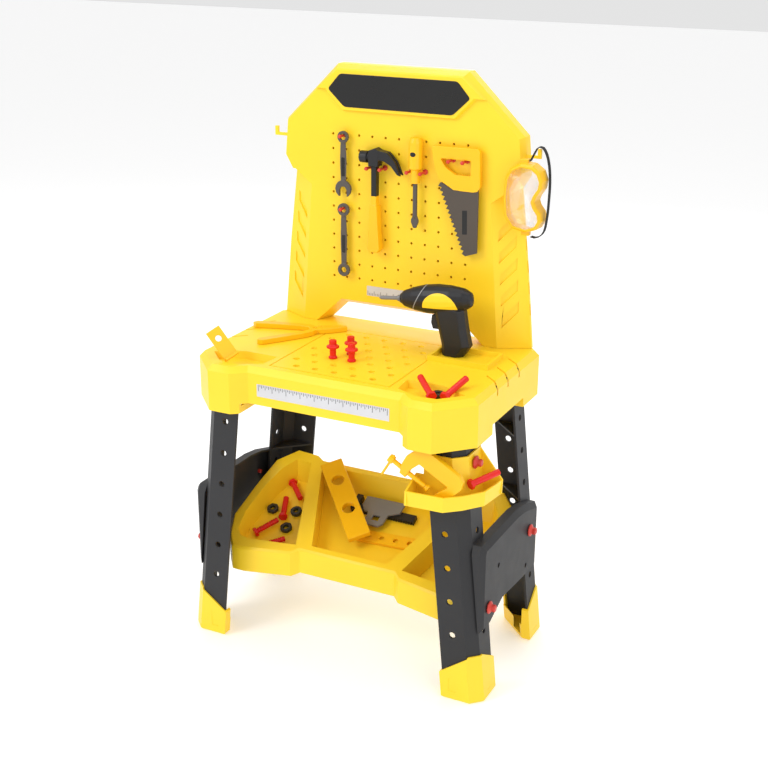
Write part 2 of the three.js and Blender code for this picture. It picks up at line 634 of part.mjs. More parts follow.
const driverX = 38.1;
const driverY = -14;
const standing = (profile, x, y, sides) => moved(turned(profile, sides), shift(x, y, 0));
addPart("screwdriver_handle", standing([[0, 811], [8.2, 811], [8.2, 834], [12, 836], [12, 880], [9, 888],
  [0, 889]], driverX, driverY, 14), amber);
addPart("screwdriver_shaft", joined(
  standing([[0, 811 - gap], [4.2, 811 - gap], [4.2, 752], [0, 752]], driverX, driverY, 8),
  prismXZ([[-4, 754], [-6.5, 748], [-6.5, 744], [-2.5, 734], [2.5, 734], [6.5, 744], [6.5, 748], [4, 754]]
    .map(([dx, z]) => [driverX + dx, z]), driverY - 2.5, driverY + 2.5)), toolGrey);

const sawHandleOutline = [[67, 877], [151, 878], [155, 874], [156.5, 815], [152, 807], [143, 805],
  [109, 806], [82, 821], [72, 846]];
const sawOpening = [[84, 857.2], [139, 857.2], [139, 832], [112, 832], [94, 843]];
const sawY = [-15, -7];
const bladeTop = { left: 81, right: 153.5 };
const bladeY = [-13.6, -10.4];
function sawBlade() {
  const teeth = [];
  const toothCount = 16;
  const heel = v3(82, 0, 816);
  const toe = v3(131, 0, 697);
  for (let i = 0; i < toothCount; i += 1) {
    const at = heel.clone().lerp(toe, i / toothCount);
    const tip = heel.clone().lerp(toe, (i + 0.75) / toothCount);
    teeth.push([at.x + 1.5, at.z], [tip.x - 4, tip.z]);
  }
  return prismXZ([...teeth, [132.5, 695], [153.5, 702.4], [bladeTop.right, 826],
    [bladeTop.left + 20, 826]], ...bladeY);
}
const sawHandleSolid = prismXZ(sawHandleOutline, ...sawY).subtract(prismXZ(sawOpening, -40, 10));
const bladeSlot = prismXZ([[70, 790], [154, 790], [154, 827], [98, 827]], bladeY[0] - gap, bladeY[1] + gap);
const blade = sawBlade().intersect(joined(
  prismXZ([[60, 650], [170, 650], [170, 804], [143, 804], [109, 805], [81, 820], [60, 820]], -20, 0),
  prismXZ([[102, 700], [153, 700], [153, 826], [102, 826]], -20, 0)));
addPart("saw_handle", sawHandleSolid.subtract(bladeSlot), amber);
addPart("saw_blade", blade.subtract(sawHandleSolid.subtract(bladeSlot)), sawGrey);

// ---- Drill --------------------------------------------------------------------------------
const drillBaseZ = tableZ + 1 + gap;
function drillBody() {
  const nose = v3(40, drillY, 623);
  const barrel = moved(solid(new THREE.LatheGeometry(
    [[0, 0], [9, 0], [14, 6], [20, 24], [25, 48], [26, 70], [24, 95], [19, 118], [12, 130], [0, 133]]
      .map(([r, h]) => new THREE.Vector2(r, h)), 16)),
    layAlong(nose, v3(170, drillY, 638)).multiply(new THREE.Matrix4().makeRotationZ(-Math.PI / 2)));
  const flatness = 0.82;
  const flattened = new THREE.Matrix4().set(1, 0, 0, 0, 0, flatness, 0, drillY * (1 - flatness),
    0, 0, 1, 0, 0, 0, 0, 1);
  const gripSections = [
    { z: drillBaseZ, x0: 121, x1: 158, halfWidth: 17 },
    { z: 556, x0: 120, x1: 170, halfWidth: 17 },
    { z: 586, x0: 112, x1: 163, halfWidth: 16 },
    { z: 618, x0: 104, x1: 158, halfWidth: 15 },
  ];
  const grip = loftRings(gripSections.map(({ z, x0, x1, halfWidth }) => {
    return ringXY([[x0, drillY - halfWidth * 0.6], [x0 + 8, drillY - halfWidth],
      [x1 - 10, drillY - halfWidth], [x1, drillY - halfWidth * 0.5], [x1, drillY + halfWidth * 0.5], [x1 - 10, drillY + halfWidth],
      [x0 + 8, drillY + halfWidth], [x0, drillY + halfWidth * 0.6]], z);
  }));
  const triggerWell = block(95, 118.5, drillY - 6.3, drillY + 6.3, 577.5, 604.5);
  const chuckBore = rod(v3(30, drillY, 621.8), v3(60, drillY, 625.3), 6.4, 12);
  return joined(moved(barrel, flattened), grip).subtract(triggerWell).subtract(chuckBore);
}
function drillTrigger() {
  return prismXZ([[101, 579], [112.5, 579], [112.5, 603], [99, 603], [97.5, 590]],
    drillY - 5.8, drillY + 5.8);
}
function drillBit() {
  const axis = v3(130, 0, 15).normalize();
  const tip = v3(40, drillY, 623).addScaledVector(axis, -43);
  const at = (distance) => tip.clone().addScaledVector(axis, distance);
  return joined(rod(at(36), at(59), 5.8, 10), rod(at(41.5), at(42.5), 8.5, 12), rod(at(4), at(38), 3.6, 8),
    rod(at(0), at(4.5), 1.2, 8, 3.6));
}
addPart("drill_body", drillBody(), drillBlack);
addPart("drill_trigger", drillTrigger(), charcoal);
addPart("drill_bit", drillBit(), plateGrey);

// ---- Pliers -------------------------------------------------------------------------------
// Drawn flat with the pivot at the origin and the jaws along +X; one half is the other's mirror.
const pliersPivot = v3(-130, -67, tableZ + gap);
const pliersAngle = Math.atan2(33, 46);
const pliersThickness = 9;
function pliersHalf(side) {
  const jaw = [[-2, 0.4], [56, 0.4], [57, 4], [30, 10], [14, 12], [-2, 11]];
  const handle = [[8, -2], [-6, 8], [-12, -8], [-24, -15], [-62, -29], [-103, -42], [-107, -51], [-98, -56],
    [-60, -43], [-22, -29], [-6, -20]];
  const disc = ringPoints(0, 0, 11.5, 12);
  const [z0, z1] = side > 0 ? [0, 4.3] : [4.3 + gap, pliersThickness];
  const across = (points) => points.map(([x, y]) => [x, y * side]);
  const part = joined(prismXY(across(jaw), 0, pliersThickness), prismXY(across(handle), 0, pliersThickness));
  const lapSpace = prismXY(ringPoints(0, 0, 12.2, 16), side > 0 ? 4.3 + gap / 2 : -1,
    side > 0 ? pliersThickness + 1 : 4.3 + gap / 2);
  const body = part.subtract(lapSpace).add(prismXY(disc, z0, z1));
  return side > 0
    ? body.add(prismXY(ringPoints(0, 0, 3.6, 12), 1, pliersThickness - 1))
    : body.subtract(prismXY(ringPoints(0, 0, 3.6 + gap, 12), -1, pliersThickness + 1));
}
const pliersPlace = new THREE.Matrix4().makeRotationZ(pliersAngle).setPosition(pliersPivot);
const lowerPliers = pliersHalf(1);
const upperPliers = pliersHalf(-1);
addPart("pliers_lower", moved(lowerPliers, pliersPlace), amber);
addPart("pliers_upper", moved(upperPliers.subtract(lowerPliers), pliersPlace), amber);

// ---- Clamps -------------------------------------------------------------------------------
const clampTilt = rad(-31);
const clampPlace = new THREE.Matrix4().makeRotationY(-clampTilt).setPosition(v3(167, -280.5, 398));
const clampY = [-5, 5];
const clampAxisZ = 3;
function clampFrame() {
  const outer = [[-12, -5], [-24, -5], [-29, 10], [-30, 28], [-22, 50], [-7, 60], [60, 60], [68, 55],
    [72, 42], [68, 26], [58, 8], [50, -5], [40, -5], [44, 10], [53, 31], [-5, 31], [-12, 12]];
  const bore = rod(v3(-40, 0, clampAxisZ), v3(-5, 0, clampAxisZ), 4.4, 12);
  return moved(prismXZ(outer, ...clampY).subtract(bore), clampPlace);
}
addPart("clamp_frame", clampFrame(), amber);
addPart("clamp_pad", moved(joined(rod(v3(22, 0, clampAxisZ), v3(26, 0, clampAxisZ), 5, 12),
  rod(v3(25.5, 0, clampAxisZ), v3(29, 0, clampAxisZ), 7, 12)), clampPlace), amber);
addPart("clamp_screw", moved(joined(rod(v3(-46, 0, clampAxisZ), v3(21.7, 0, clampAxisZ), 4, 10),
  rod(v3(-52, 0, clampAxisZ), v3(-43, 0, clampAxisZ), 7, 10),
  rod(v3(-47, 0, clampAxisZ - 34), v3(-47, 0, clampAxisZ + 9), 2.2, 8)), clampPlace), amber);

// ---- Goggles ------------------------------------------------------------------------------
// Hung upright: the long axis of the mask is vertical and the nose notch faces right.
const gogglesY = [-34, -4];
const gogglesOutline = [[203, 806], [205, 838], [214, 856], [232, 865], [252, 863], [266, 853], [272, 838],
  [270, 824], [262, 812], [259, 804], [262, 796], [270, 786], [272, 772], [264, 758], [246, 751],
  [220, 756], [206, 776]];
const lensOutline = outset(gogglesOutline.slice().reverse(), -6.5);

function gogglesFrame() {
  const back = gogglesOutline.slice().reverse();
  const shell = loftRings([ringXZ(outset(back, -4), gogglesY[0]), ringXZ(outset(back, -1), gogglesY[0] + 4),
    ringXZ(back, gogglesY[1])]);
  const hollow = loftRings([ringXZ(lensOutline, gogglesY[0] - 1),
    ringXZ(outset(back, -4.5), gogglesY[1] + 1)]);
  const clipTop = block(228, 242, -22, -12, 863, 870);
  const clipLow = block(234, 248, -22, -12, 745, 753);
  return joined(shell.subtract(hollow), clipTop, clipLow);
}
addPart("goggles_frame", gogglesFrame(), amber);
addPart("goggles_lens", prismXZ(outset(lensOutline, -0.5), gogglesY[0] + 1, gogglesY[0] + 2.6), clearPlastic);

// The elastic strap: a flat band from the top clip, back over the board's hook and down to the
// bottom clip. Its width lies along Y.
function gogglesStrap() {
  const halfThickness = 0.8;
  const halfWidth = 5;
  const route = [[244, -17, 867], [246, -8, 876], [247, 6, 884.5], [250, 14.5, 886], [254, 14, 884],
    [262, 8, 876], [271, -3, 860], [276, -10, 836], [277, -14, 805], [276, -17, 775], [271, -17, 752],
    [260, -17, 743], [250, -17, 744]];
  const points = new THREE.CatmullRomCurve3(route.map(([x, y, z]) => v3(x, y, z))).getSpacedPoints(30);
  return loftRings(points.map((p, i) => {
    const before = points[Math.max(0, i - 1)];
    const after = points[Math.min(points.length - 1, i + 1)];
    const along = after.clone().sub(before).setY(0).normalize();
    const out = v3(-along.z, 0, along.x).multiplyScalar(halfThickness);
    const across = v3(0, halfWidth, 0);
    return [p.clone().add(out).add(across), p.clone().add(out).sub(across),
      p.clone().sub(out).sub(across), p.clone().sub(out).add(across)];
  }));
}
addPart("goggles_strap", gogglesStrap(), strapBlack);

// ---- Loose hardware -----------------------------------------------------------------------
const boltLength = 58;
// A play bolt along +X: a flat hexagonal head at the origin and a thick shank.
function bolt(length = boltLength, radius = 5.5) {
  const alongX = new THREE.Matrix4().makeRotationY(Math.PI / 2);
  const head = moved(turned([[0, 0], [9, 0], [9, 6], [0, 6]], 6), alongX);
  return head.add(rod(v3(5, 0, 0), v3(length, 0, 0), radius, 10));
}
function nut() {
  return prismXY(ringPoints(0, 0, 11, 12), 0, 7).subtract(prismXY(ringPoints(0, 0, 5, 12), -1, 8));
}

// The three bolts that stand in the table's holes: shank, flange and hexagonal grip.
const standingBolts = { bolt_a: [-35.5, 2], bolt_b: [-17.75, 3], bolt_c: [0, 2] };
for (const [name, [x, row]] of Object.entries(standingBolts)) {
  const y = gridFrontY + row * gridRowStep;
  const z = tableZ;
  const collar = z + gap;
  addPart(name, standing([[0, z - 16], [5, z - 16], [5, collar], [7.5, collar], [7.5, collar + 3], [5.5, collar + 4],
    [5.5, z + 17], [11, z + 19], [11, z + 22], [6.5, z + 24], [6.5, z + 32], [0, z + 33]], x, y, 12), redPlastic);
}

const podFloor = tableZ - podBinDepth + gap;
const boltBetween = (start, end) => moved(bolt(), layAlong(start, end));
addPart("pod_bolt_a",
  boltBetween(v3(186, -257, podFloor + 9.6), v3(140, -210, podFloor + 26)), redPlastic);
addPart("pod_bolt_b",
  boltBetween(v3(204, -252, podFloor + 9.8), v3(219, -200, podFloor + 27)), redPlastic);
addPart("corner_bolt", boltBetween(v3(253, -255, 395.5), v3(285, -201, 405)), redPlastic);

const shelfUp = v3(0, -shelfSlope, 1).normalize();
const shelfBolt = (x0, y0, x1, y1) => moved(bolt(50), layAlong(onShelf(x0, y0, binDepth - 10),
  onShelf(x1, y1, binDepth - 10), shelfUp));
const shelfNut = (x, y) => {
  const drop = binDepth - 0.8;
  return moved(nut(), layAlong(onShelf(x, y, drop), onShelf(x + 10, y, drop), shelfUp));
};
addPart("tray_bolt_a", shelfBolt(-203, -36, -165, -70), redPlastic);
addPart("tray_bolt_b", shelfBolt(-178, -116, -196, -71), redPlastic);
addPart("tray_nut", shelfNut(-163, -90), nutBlack);

// Play measuring strips with holes, and a small spirit level.
function strip(length, width, thickness, holes) {
  let body = block(0, length, -width / 2, width / 2, 0, thickness);
  for (const [x, radius] of holes) {
    body = body.subtract(prismXY(ringPoints(x, 0, radius, 12), -1, thickness + 1));
  }
  return body;
}
const levelPlace = layAlong(onShelf(-128, -16, -3.5), onShelf(2, -142, 19), shelfUp);
addPart("level", moved(strip(186, 42, 11, [[48, 12], [118, 12]]), levelPlace), amber);
const onFloor = (x, y) => onShelf(x, y, binDepth - 0.6);
const linkHoles = (count, step) => Array.from({ length: count }, (_, i) => [18 + i * step, 5]);
const linkPlace = layAlong(onFloor(-21, -107), onFloor(90, -102), shelfUp);
addPart("link_strip", moved(strip(118, 26, 5, linkHoles(4, 27)), linkPlace), amber);

// A bent link strip that leans out of the left front bin.
const leanUp = v3(0.578, -0.659, 0.494);
const bentStrip = strip(58, 26, 4, [[40, 5.5]]).add(block(0, 4, -13, 13, 0, 16));
const bentPlace = layAlong(v3(-185, -254, tableZ + 1), v3(-221, -254, tableZ + 43), leanUp);
addPart("link_strip_bent", moved(bentStrip, bentPlace), amber);

// Bar clamp: a toothed bar with a fixed jaw, and a sliding plate on it.
const barY = -54;
const barPlace = layAlong(onShelf(-62, barY, binDepth - 1), onShelf(60, barY, binDepth - 1), shelfUp);
function barClampBar() {
  let bar = joined(block(0, 128, -9, 9, 0, 8), block(0, 12, -9, 26, 0, 13));
  for (let x = 18; x < 124; x += 5) {
    bar = bar.subtract(prismXY([[x, -9.5], [x + 3, -9.5], [x + 1.5, -6.5]], -1, 9));
  }
  return moved(bar, barPlace);
}
function barClampSlider() {
  const plate = [[-38, 26], [-38, 4], [-30, -8], [-20, -10], [-19, -30], [-12, -38], [12, -38],
    [19, -30], [20, -8], [40, 2], [40, 26]];
  const window = block(-7, 7, -26, -14, 0, 30);
  const runner = joined(prismXY(plate, 8 + gap, 13), block(-12, 12, 9 + gap, 14, 2, 10))
    .subtract(window);
  return moved(moved(runner, shift(58, 0, 0)), barPlace);
}
addPart("bar_clamp_bar", barClampBar(), drillBlack);
addPart("bar_clamp_slider", barClampSlider(), plateGrey);

export default bench;
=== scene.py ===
"""Looks for the toy tool bench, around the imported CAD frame. Metres, +Z up, +Y towards the peg board."""

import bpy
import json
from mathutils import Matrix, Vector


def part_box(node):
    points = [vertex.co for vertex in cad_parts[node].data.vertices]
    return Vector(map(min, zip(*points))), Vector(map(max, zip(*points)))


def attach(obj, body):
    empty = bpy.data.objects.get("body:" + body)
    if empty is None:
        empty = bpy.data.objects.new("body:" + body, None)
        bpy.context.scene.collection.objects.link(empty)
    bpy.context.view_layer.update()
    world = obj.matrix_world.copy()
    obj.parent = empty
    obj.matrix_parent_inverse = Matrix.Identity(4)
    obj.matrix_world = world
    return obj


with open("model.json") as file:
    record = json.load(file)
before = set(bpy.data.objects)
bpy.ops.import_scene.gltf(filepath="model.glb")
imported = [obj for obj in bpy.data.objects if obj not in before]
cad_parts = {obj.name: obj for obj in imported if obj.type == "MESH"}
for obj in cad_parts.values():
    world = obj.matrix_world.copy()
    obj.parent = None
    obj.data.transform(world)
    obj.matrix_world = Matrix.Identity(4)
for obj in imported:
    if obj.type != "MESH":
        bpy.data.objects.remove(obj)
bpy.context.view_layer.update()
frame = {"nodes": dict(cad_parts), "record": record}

import json
import math

import bmesh
import bpy
from mathutils import Matrix, Vector

MM = 0.001
nodes = frame["nodes"]

# ---- Places that the frame gives ----------------------------------------------------------
HEADER_RAISE = 7 * MM  # the header stands this far in front of the board's face
HOLDER_RAISE = 9 * MM  # the drill holder's rim above the table
board_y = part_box("backboard")[0].y + HEADER_RAISE
table_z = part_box("bench_top")[1].z - HOLDER_RAISE
SHELF_SLOPE = 0.44
SHELF_RIM = 0.262  # height of the lower tray's rim below the board's face
BIN_DEPTH = 0.040


def from_board(x, y, z):
    """A point given in mm, with y measured from the peg board's front face."""
    return Vector((x * MM, board_y + y * MM, z * MM))


def on_shelf(x, y, above_floor):
    """A point in the lower tray, in mm, so far above the floor of its bins."""
    z = SHELF_RIM / MM + SHELF_SLOPE * y - BIN_DEPTH / MM + above_floor
    return from_board(x, y, z)


def lay_along(start, end, up=Vector((0, 0, 1))):
    """The matrix that lays a piece drawn along +X, top towards +Z, from start towards end."""
    x = (end - start).normalized()
    y = up.cross(x).normalized()
    z = x.cross(y)
    matrix = Matrix((x, y, z)).transposed().to_4x4()
    matrix.translation = start
    return matrix


SHELF_UP = Vector((0, -SHELF_SLOPE, 1)).normalized()
# A piece drawn in its own XY plane stands in the board's plane, with its top side towards -Y.
FACING_FRONT = Matrix.Rotation(math.radians(90), 4, "X")

# ---- Camera, lights and floor --------------------------------------------------------------
AZIMUTH = math.radians(26.6)
ELEVATION = math.radians(20.37)
CAMERA_ROLL = math.radians(0.22)


def make_camera():
    data = bpy.data.cameras.new("camera")
    data.lens = 61.6
    data.sensor_width = 36
    camera = bpy.data.objects.new("camera", data)
    bpy.context.scene.collection.objects.link(camera)
    turn = Matrix.Rotation(AZIMUTH, 4, "Z") @ Matrix.Rotation(math.radians(90) - ELEVATION, 4, "X")
    camera.matrix_world = (
        Matrix.Translation((0.9768, -1.8772, 1.2655)) @ turn @ Matrix.Rotation(CAMERA_ROLL, 4, "Z")
    )
    bpy.context.scene.camera = camera


def make_light(name, place, target, size, power):
    data = bpy.data.lights.new(name, "AREA")
    data.shape = "DISK"
    data.size = size
    data.energy = power
    light = bpy.data.objects.new(name, data)
    light.location = place
    light.rotation_euler = (Vector(target) - Vector(place)).to_track_quat("-Z", "Y").to_euler()
    bpy.context.scene.collection.objects.link(light)


def make_studio():
    make_light("key_light", (-1.6, -2.2, 2.6), (0, 0, 0.5), 1.6, 40)
    make_light("fill_light", (2.4, -1.6, 1.8), (0, 0, 0.5), 2.0, 18)
    make_light("top_light", (0.2, 0.4, 3.2), (0, 0, 0.4), 2.2, 20)
    make_light("back_light", (-0.5, 2.6, 2.0), (0, 0, 0.5), 2.0, 18)
    world = bpy.data.worlds.new("studio")
    world.use_nodes = True
    background = world.node_tree.nodes["Background"]
    background.inputs["Color"].default_value = (1, 1, 1, 1)
    background.inputs["Strength"].default_value = 0.78
    bpy.context.scene.world = world
    bpy.context.scene.view_settings.view_transform = "Standard"
    mesh = bpy.data.meshes.new("floor")
    reach = 12
    mesh.from_pydata([(-reach, -reach, 0), (reach, -reach, 0), (reach, reach, 0), (-reach, reach, 0)],
                     [], [(0, 1, 2, 3)])
    floor = bpy.data.objects.new("floor", mesh)
    bpy.context.scene.collection.objects.link(floor)
    mesh.materials.append(plain_floor())


def plain_floor():
    material = bpy.data.materials.new("floor")
    material.use_nodes = True
    shader = material.node_tree.nodes["Principled BSDF"]
    shader.inputs["Base Color"].default_value = (0.9, 0.9, 0.9, 1)
    shader.inputs["Roughness"].default_value = 0.6
    shader.inputs["Emission Color"].default_value = (1, 1, 1, 1)
    shader.inputs["Emission Strength"].default_value = 0.22
    return material


# ---- Materials ----------------------------------------------------------------------------
def moulded(name, colour, roughness, grain=0.12, mottle=0.06, waves=0.0, gloss=0.45):
    """Moulded plastic: faint colour mottling, a fine grain, uneven gloss and soft large waves."""
    material = bpy.data.materials.new(name)
    material.use_nodes = True
    tree = material.node_tree
    shader = tree.nodes["Principled BSDF"]
    link = tree.links.new
    place = tree.nodes.new("ShaderNodeTexCoord").outputs["Object"]

    def noise(scale, detail=4):
        node = tree.nodes.new("ShaderNodeTexNoise")
        node.inputs["Scale"].default_value = scale
        node.inputs["Detail"].default_value = detail
        link(place, node.inputs["Vector"])
        return node.outputs["Fac"]

    ramp = tree.nodes.new("ShaderNodeValToRGB")
    ramp.color_ramp.elements[0].position = 0.3
    ramp.color_ramp.elements[1].position = 0.7
    ramp.color_ramp.elements[0].color = (*[c * (1 - mottle) for c in colour], 1)
    ramp.color_ramp.elements[1].color = (*[min(1, c * (1 + mottle)) for c in colour], 1)
    link(noise(9), ramp.inputs["Fac"])
    link(ramp.outputs["Color"], shader.inputs["Base Color"])

    uneven = tree.nodes.new("ShaderNodeMapRange")
    uneven.inputs["To Min"].default_value = roughness - 0.06
    uneven.inputs["To Max"].default_value = roughness + 0.08
    link(noise(35, 6), uneven.inputs["Value"])
    link(uneven.outputs["Result"], shader.inputs["Roughness"])

    fine = tree.nodes.new("ShaderNodeBump")
    fine.inputs["Strength"].default_value = grain
    fine.inputs["Distance"].default_value = 0.0002
    link(noise(1400, 2), fine.inputs["Height"])
    link(fine.outputs["Normal"], shader.inputs["Normal"])
    if waves:
        wide = tree.nodes.new("ShaderNodeBump")
        wide.inputs["Strength"].default_value = waves
        wide.inputs["Distance"].default_value = 0.004
        link(noise(16, 1), wide.inputs["Height"])
        link(wide.outputs["Normal"], fine.inputs["Normal"])
    shader.inputs["Specular IOR Level"].default_value = gloss
    return material


def clear_plastic():
    material = bpy.data.materials.new("clear_plastic")
    material.use_nodes = True
    shader = material.node_tree.nodes["Principled BSDF"]
    shader.inputs["Base Color"].default_value = (0.96, 0.96, 0.94, 1)
    shader.inputs["Roughness"].default_value = 0.06
    shader.inputs["IOR"].default_value = 1.45
    shader.inputs["Transmission Weight"].default_value = 0.9
    shader.inputs["Alpha"].default_value = 0.3
    return material


def woven_elastic():
    material = moulded("strap_elastic", (0.010, 0.010, 0.011), 0.8, grain=0.0)
    tree = material.node_tree
    ribs = tree.nodes.new("ShaderNodeTexWave")
    ribs.bands_direction = "Y"
    ribs.inputs["Scale"].default_value = 260
    bump = tree.nodes.new("ShaderNodeBump")
    bump.inputs["Strength"].default_value = 0.6
    bump.inputs["Distance"].default_value = 0.0005
    place = tree.nodes.new("ShaderNodeTexCoord")
    tree.links.new(place.outputs["Object"], ribs.inputs["Vector"])
    tree.links.new(ribs.outputs["Fac"], bump.inputs["Height"])
    tree.links.new(bump.outputs["Normal"], tree.nodes["Principled BSDF"].inputs["Normal"])
    return material


def add_region(material, colour, shapes):
    """Paints the inside of some shapes, given in mm in the board's plane, in another colour.

    A shape is a list of (a, b, c) half planes, kept where a*x + b*z + c > 0, and ellipses, given as
    (x, z, half width, half height).
    """
    tree = material.node_tree
    link = tree.links.new
    split = tree.nodes.new("ShaderNodeSeparateXYZ")
    link(tree.nodes.new("ShaderNodeTexCoord").outputs["Object"], split.inputs["Vector"])

    def math_node(operation, *values):
        node = tree.nodes.new("ShaderNodeMath")
        node.operation = operation
        for socket, value in zip(node.inputs, values):
            if isinstance(value, (int, float)):
                socket.default_value = value
            else:
                link(value, socket)
        return node.outputs["Value"]

    x = math_node("MULTIPLY", split.outputs["X"], 1 / MM)
    z = math_node("MULTIPLY", split.outputs["Z"], 1 / MM)
    mask = None
    for shape in shapes:
        inside = None
        for part in shape:
            if len(part) == 3:
                a, b, c = part
                value = math_node("ADD", math_node("MULTIPLY", x, a), math_node("MULTIPLY", z, b))
                part_inside = math_node("GREATER_THAN", math_node("ADD", value, c), 0.0)
            else:
                x0, z0, half_width, half_height = part
                u = math_node("DIVIDE", math_node("SUBTRACT", x, x0), half_width)
                v = math_node("DIVIDE", math_node("SUBTRACT", z, z0), half_height)
                square = math_node("ADD", math_node("MULTIPLY", u, u), math_node("MULTIPLY", v, v))
                part_inside = math_node("LESS_THAN", square, 1.0)
            inside = part_inside if inside is None else math_node("MULTIPLY", inside, part_inside)
        mask = inside if mask is None else math_node("MAXIMUM", mask, inside)
    shader = tree.nodes["Principled BSDF"]
    mix = tree.nodes.new("ShaderNodeMix")
    mix.data_type = "RGBA"
    link(mask, mix.inputs["Factor"])
    link(shader.inputs["Base Color"].links[0].from_socket, mix.inputs["A"])
    mix.inputs["B"].default_value = (*colour, 1)
    link(mix.outputs["Result"], shader.inputs["Base Color"])
    return material


YELLOW = (0.98, 0.66, 0.020)
AMBER = (0.96, 0.52, 0.003)
BLACK = (0.006, 0.006, 0.006)
materials = {
    "yellow_plastic": moulded("yellow_plastic", YELLOW, 0.40, grain=0.16, mottle=0.03, waves=0.10),
    "amber_plastic": moulded("amber_plastic", AMBER, 0.36, grain=0.10, mottle=0.03),
    "charcoal_plastic": moulded("charcoal_plastic", (0.026, 0.026, 0.028), 0.5, grain=0.2, gloss=0.3),
    "brace_plastic": moulded("brace_plastic", (0.030, 0.030, 0.032), 0.52, grain=0.25, waves=0.08, gloss=0.3),
    "red_plastic": moulded("red_plastic", (0.72, 0.010, 0.006), 0.34, grain=0.08),
    "peg_red_plastic": moulded("peg_red_plastic", (0.62, 0.045, 0.030), 0.36, grain=0.08),
    "nut_plastic": moulded("nut_plastic", (0.030, 0.028, 0.018), 0.42, grain=0.15),
    "tool_grey": moulded("tool_grey", (0.085, 0.075, 0.068), 0.40, grain=0.2),
    "saw_grey": moulded("saw_grey", (0.075, 0.060, 0.048), 0.40, grain=0.2),
    "drill_black": moulded("drill_black", (0.009, 0.009, 0.011), 0.42, grain=0.25),
    "plate_grey": moulded("plate_grey", (0.20, 0.20, 0.21), 0.42, grain=0.2),
    "clear_plastic": clear_plastic(),
    "strap_elastic": woven_elastic(),
    "label_black": moulded("label_black", (0.006, 0.006, 0.006), 0.28, grain=0.02),
    "silver_label": moulded("silver_label", (0.62, 0.62, 0.64), 0.30, grain=0.03),
}


def two_tone():
    """Materials of the pieces that are moulded or printed in two colours."""
    drill = moulded("drill_shell", (0.009, 0.009, 0.011), 0.42, grain=0.25)
    add_region(drill, YELLOW, [[(118, 619, 31, 27), (-0.05, 1, -613)]])
    add_region(drill, (0.30, 0.30, 0.31), [[(1, -0.5, 240), (-1, 0.5, -238.4), (0, 1, -600)]])
    hammer = moulded("hammer_grip", AMBER, 0.36, grain=0.10, mottle=0.03)
    add_region(hammer, BLACK, [[(0, 1, -782)]])
    driver = moulded("driver_grip", AMBER, 0.36, grain=0.10, mottle=0.03)
    add_region(driver, BLACK, [[(38.1, 861, 5.2, 4.0)]])
    return {"drill_body": drill, "hammer_handle": hammer, "screwdriver_handle": driver}


def paint(piece, slot):
    piece.data.materials.clear()
    piece.data.materials.append(materials[slot])


# ---- Carried-over CAD nodes ----------------------------------------------------------------
def ready(name):
    """The CAD node, shaded smooth and without the split normals that it was loaded with."""
    node = nodes[name]
    mesh = node.data
    if "custom_normal" in mesh.attributes:
        mesh.attributes.remove(mesh.attributes["custom_normal"])
    mesh.polygons.foreach_set("use_smooth", [True] * len(mesh.polygons))
    weld = node.modifiers.new("weld", "WELD")
    weld.merge_threshold = 0.01 * MM
    return node


def crisp(name, width, segments=2):
    """Flat faces joined up, edges rounded, and normals that keep the faces flat."""
    node = ready(name)
    planar = node.modifiers.new("planar", "DECIMATE")
    planar.decimate_type = "DISSOLVE"
    planar.angle_limit = math.radians(1.5)
    bevel = node.modifiers.new("bevel", "BEVEL")
    bevel.width = width * MM
    bevel.segments = segments
    bevel.limit_method = "ANGLE"
    bevel.angle_limit = math.radians(28)
    bevel.harden_normals = True
    bevel.use_clamp_overlap = True
    node.modifiers.new("triangles", "TRIANGULATE").keep_custom_normals = True
    return node


def soft(name, voxel, rounds=6):
    """A small moulded piece: a fine even skin, smoothed so that every edge and facet is rounded."""
    node = ready(name)
    remesh = node.modifiers.new("remesh", "REMESH")
    remesh.mode = "VOXEL"
    remesh.voxel_size = voxel * MM
    remesh.use_smooth_shade = True
    smooth = node.modifiers.new("smooth", "SMOOTH")
    smooth.factor = 0.5
    smooth.iterations = rounds
    return node


CRISP = {
    "bench_top": 2.2, "backboard": 2.0, "lower_tray": 2.2, "corner_tray": 1.2,
    "foot_front_right": 1.5, "foot_front_left": 1.5, "foot_rear_right": 1.5, "foot_rear_left": 1.5,
    "leg_front_right": 1.2, "leg_front_left": 1.2, "leg_rear_right": 1.2, "leg_rear_left": 1.2,
    "side_brace_right": 2.0, "side_brace_left": 2.0,
    "link_strip": 0.8, "link_strip_bent": 0.8, "level": 1.2, "bar_clamp_bar": 0.6, "bar_clamp_slider": 0.8,
    "saw_blade": 0.4, "drill_trigger": 1.2,
}
SOFT = {
    "brace_knob_right_1": 0.6, "brace_knob_right_2": 0.6, "brace_knob_left_1": 0.6, "brace_knob_left_2": 0.6,
    "tray_knob": 0.6, "peg_wrench_open": 0.5, "peg_wrench_ring": 0.5, "peg_hammer_left": 0.5,
    "peg_hammer_right": 0.5, "peg_driver_left": 0.5, "peg_driver_right": 0.5, "peg_saw_left": 0.5,
    "peg_saw_right": 0.5, "wrench_open": 0.6, "wrench_ring": 0.6, "hammer_head": 0.7,
    "hammer_handle": 0.7, "screwdriver_handle": 0.7, "screwdriver_shaft": 0.5, "saw_handle": 0.7,
    "drill_body": 1.0, "drill_bit": 0.5, "pliers_lower": 0.7, "pliers_upper": 0.7,
    "clamp_frame": 0.8, "clamp_pad": 0.6, "clamp_screw": 0.6, "goggles_frame": 0.8,
    "goggles_strap": 0.5, "bolt_a": 0.5, "bolt_b": 0.5, "bolt_c": 0.5, "corner_bolt": 0.5,
    "pod_bolt_a": 0.5, "pod_bolt_b": 0.5, "tray_bolt_a": 0.5, "tray_bolt_b": 0.5, "tray_nut": 0.5,
}


